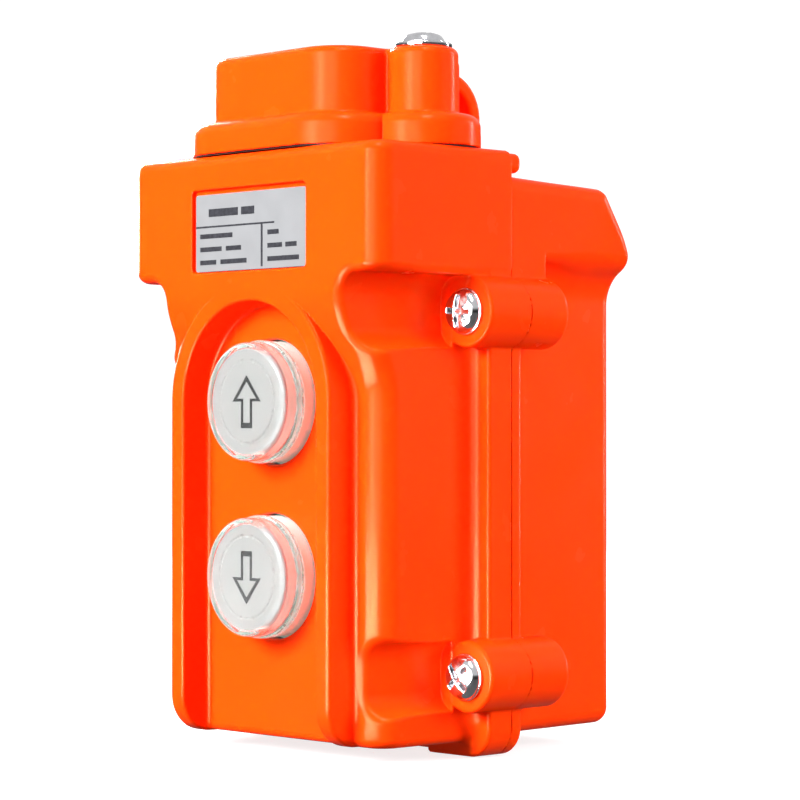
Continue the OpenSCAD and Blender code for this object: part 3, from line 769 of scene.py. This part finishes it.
def box_mm(node):
    """A CAD node's low and high corners in millimetres."""
    low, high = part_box(node)
    return [c / MM for c in low], [c / MM for c in high]


def add_shells():
    """Both shells and the head, in place of the CAD's."""
    step = 0.42
    share = 0.4
    for node, field in (("front_housing", front_shell), ("rear_housing", rear_shell),
                        ("cable_head", cable_head)):
        low, high = box_mm(node)
        mesh = field_mesh(node + "_moulding", field, low, high, step, share)
        add_piece(node + "_moulding", mesh, HOUSING, "orange_shell", node)


def add_button(side, z):
    """Lens, legend and cap of one push button, meshed about the button's axis."""
    step = 0.3
    body = side + "_button"
    for name, field, reach, slot in (("lens", lens, RIDGE[0], "clear_lens"),
                                     ("legend", legend, LEGEND_R, "white_legend"),
                                     ("cap", cap, CAP_FLANGE_R, "milky_cap")):
        low, high = box_mm(side + "_" + name)
        near = (-reach, low[1], -reach)
        far = (reach, high[1], reach)
        mesh = field_mesh(f"{side}_{name}_turned", field, near, far, step, 0.5)
        mesh.transform(Matrix.Translation((0, 0, z * MM)))
        add_piece(f"{side}_{name}_turned", mesh, body, slot, side + "_" + name)


# How far each screw is turned, in degrees, from the upper right housing screw round to the last
SCREW_TURNS = (4, 48, 22, 71, 12, 33)


# Lengths of the housing's and the head's screws, and each washer's outer radius, inner radius and thickness
SCREW_LENGTHS = (19.5, 29.5)
HOUSING_WASHER = (4.85, 2.7, 0.7)
HEAD_WASHER = (6, 2.7, 0.9)


def screw_mesh(name, length, step):
    side = SCREW_HEAD[0] + 0.2
    return field_mesh(name, screw(length), (-side, -2.6, -side), (side, length + 0.1, side), step, 0.5, False)


def washer_mesh(name, sizes, step):
    side = math.ceil(sizes[0])
    return field_mesh(name, washer(*sizes), (-side, -0.1 - sizes[2], -side), (side, 0.1, side), step, 0.6)


def add_screws():
    """Six screws and their washers, each screw turned by its own angle."""
    step = 0.17
    short = screw_mesh("short_screw", SCREW_LENGTHS[0], step)
    long = screw_mesh("long_screw", SCREW_LENGTHS[1], step)
    ring = washer_mesh("ring", HOUSING_WASHER, step)
    flange = washer_mesh("flange", HEAD_WASHER, step)
    turns = iter(SCREW_TURNS)
    seats = []
    for side in (1, -1):
        for level, z in zip(("upper", "lower"), BOSS_Z):
            hand = "right" if side > 0 else "left"
            seat = Vector((side * BOSS_X, BOSS_Y[0], z))
            seats.append((f"{level}_{hand}", seat, 0, short, ring, HOUSING_WASHER[2], "housing"))
    for side in (1, -1):
        hand = "right" if side > 0 else "left"
        seats.append((hand, Vector((side * LOBE_X, 0, 0)), -90, long, flange, HEAD_WASHER[2], "head"))
    for name, seat, tilt, bolt, plate, thick, kind in seats:
        stand = Matrix.Translation(seat * MM) @ Matrix.Rotation(math.radians(tilt), 4, "X")
        mesh = plate.copy()
        mesh.transform(stand)
        add_piece(f"{kind}_washer_{name}", mesh, HOUSING, "bright_screw", kind + "_washers")
        lift = Matrix.Translation((0, -thick * MM, 0))
        turn = Matrix.Rotation(math.radians(next(turns)), 4, "Y")
        mesh = bolt.copy()
        mesh.transform(stand @ lift @ turn)
        add_piece(f"{kind}_screw_{name}", mesh, HOUSING, "bright_screw", kind + "_screws")


def add_spring(side, z):
    """Return spring wound from fine round wire, built once at its rest length and fixed to the housing."""
    low, high = box_mm(side + "_spring")
    wire = 0.45
    coil = high[0] - wire
    turns, steps, sides = 7, 36, 14
    count = turns * steps + 1
    t = np.linspace(0, 1, count)
    angle = t * turns * 2 * math.pi
    length = high[1] - low[1] - 2 * wire
    along = low[1] + wire + length * t
    middle = np.stack([coil * np.cos(angle), along, coil * np.sin(angle) + z], 1)
    out = np.stack([np.cos(angle), 0 * angle, np.sin(angle)], 1)
    round_angle = np.linspace(0, 2 * math.pi, sides, endpoint=False)
    across = np.cos(round_angle)[None, :, None] * out[:, None]
    upward = np.sin(round_angle)[None, :, None] * np.array((0, 1, 0))
    points = middle[:, None] + wire * (across + upward)
    index = np.arange(count * sides).reshape(count, sides)
    after = np.roll(index, -1, 1)
    quads = np.stack([index[:-1], after[:-1], after[1:], index[1:]], -1).reshape(-1, 4)
    mesh = new_mesh(side + "_spring_wire", points.reshape(-1, 3), quads)
    bm = bmesh.new()
    bm.from_mesh(mesh)
    bmesh.ops.holes_fill(bm, edges=bm.edges, sides=sides)
    bmesh.ops.recalc_face_normals(bm, faces=bm.faces)
    bm.to_mesh(mesh)
    bm.free()
    mesh.polygons.foreach_set("use_smooth", np.ones(len(mesh.polygons), bool))
    piece = add_piece(side + "_spring_wire", mesh, HOUSING, "spring_steel", side + "_spring")
    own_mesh(piece)


# Start, level, width and height of the rules and the heading's bars, as shares of the label
LABEL_BARS = ((0.0, 0.57, 0.72, 0.022), (0.60, 0.03, 0.016, 0.54),
              (0.12, 0.71, 0.27, 0.1), (0.42, 0.71, 0.12, 0.1))
# Level of each row of small bars, with the start and width of every bar in it
LABEL_ROWS = ((0.43, ((0.04, 0.3), (0.66, 0.1))),
              (0.26, ((0.04, 0.2), (0.28, 0.14), (0.66, 0.13), (0.82, 0.1))),
              (0.09, ((0.04, 0.15), (0.23, 0.24), (0.66, 0.28))))


def add_print():
    """Generic ruled lines and bars printed on the label: no words, numbers or marks."""
    low, high = box_mm("rating_label")
    wide = high[0] - low[0]
    tall = high[2] - low[2]
    front = low[1]
    bars = list(LABEL_BARS)
    bars += [(start, level, width, 0.06) for level, words in LABEL_ROWS for start, width in words]
    bm = bmesh.new()
    for u, v, w, h in bars:
        place = Matrix.Translation(((low[0] + (u + w / 2) * wide) * MM, (front - 0.02) * MM,
                                    (low[2] + (v + h / 2) * tall) * MM))
        shape = Matrix.Diagonal((w * wide * MM, 0.05 * MM, h * tall * MM, 1))
        bmesh.ops.create_cube(bm, size=1, matrix=place @ shape)
    mesh = bpy.data.meshes.new("label_print")
    bm.to_mesh(mesh)
    bm.free()
    add_piece("label_print", mesh, HOUSING, "label_ink")


def finish_cad_nodes():
    """Give every CAD node that stays its procedural material, and take the sharpness off its edges."""
    slots = {part["node"]: part["material_slot"] for part in frame["record"]["subparts"]}
    for name, node in frame["nodes"].items():
        if node.hide_render:
            continue
        for i in range(len(node.material_slots)):
            node.material_slots[i].material = materials[slots[name]]
        if not name.endswith("arrow"):
            bevel = node.modifiers.new("edges", "BEVEL")
            bevel.width = 0.15 * MM
            bevel.segments = 2
            bevel.limit_method = "ANGLE"
            bevel.angle_limit = math.radians(40)
            bevel.harden_normals = True


add_camera()
add_floor()
add_world()
add_studio()
add_shells()
for side, z in zip(("up", "down"), BUTTON_Z):
    add_button(side, z)
    add_spring(side, z)
add_screws()
add_print()
finish_cad_nodes()
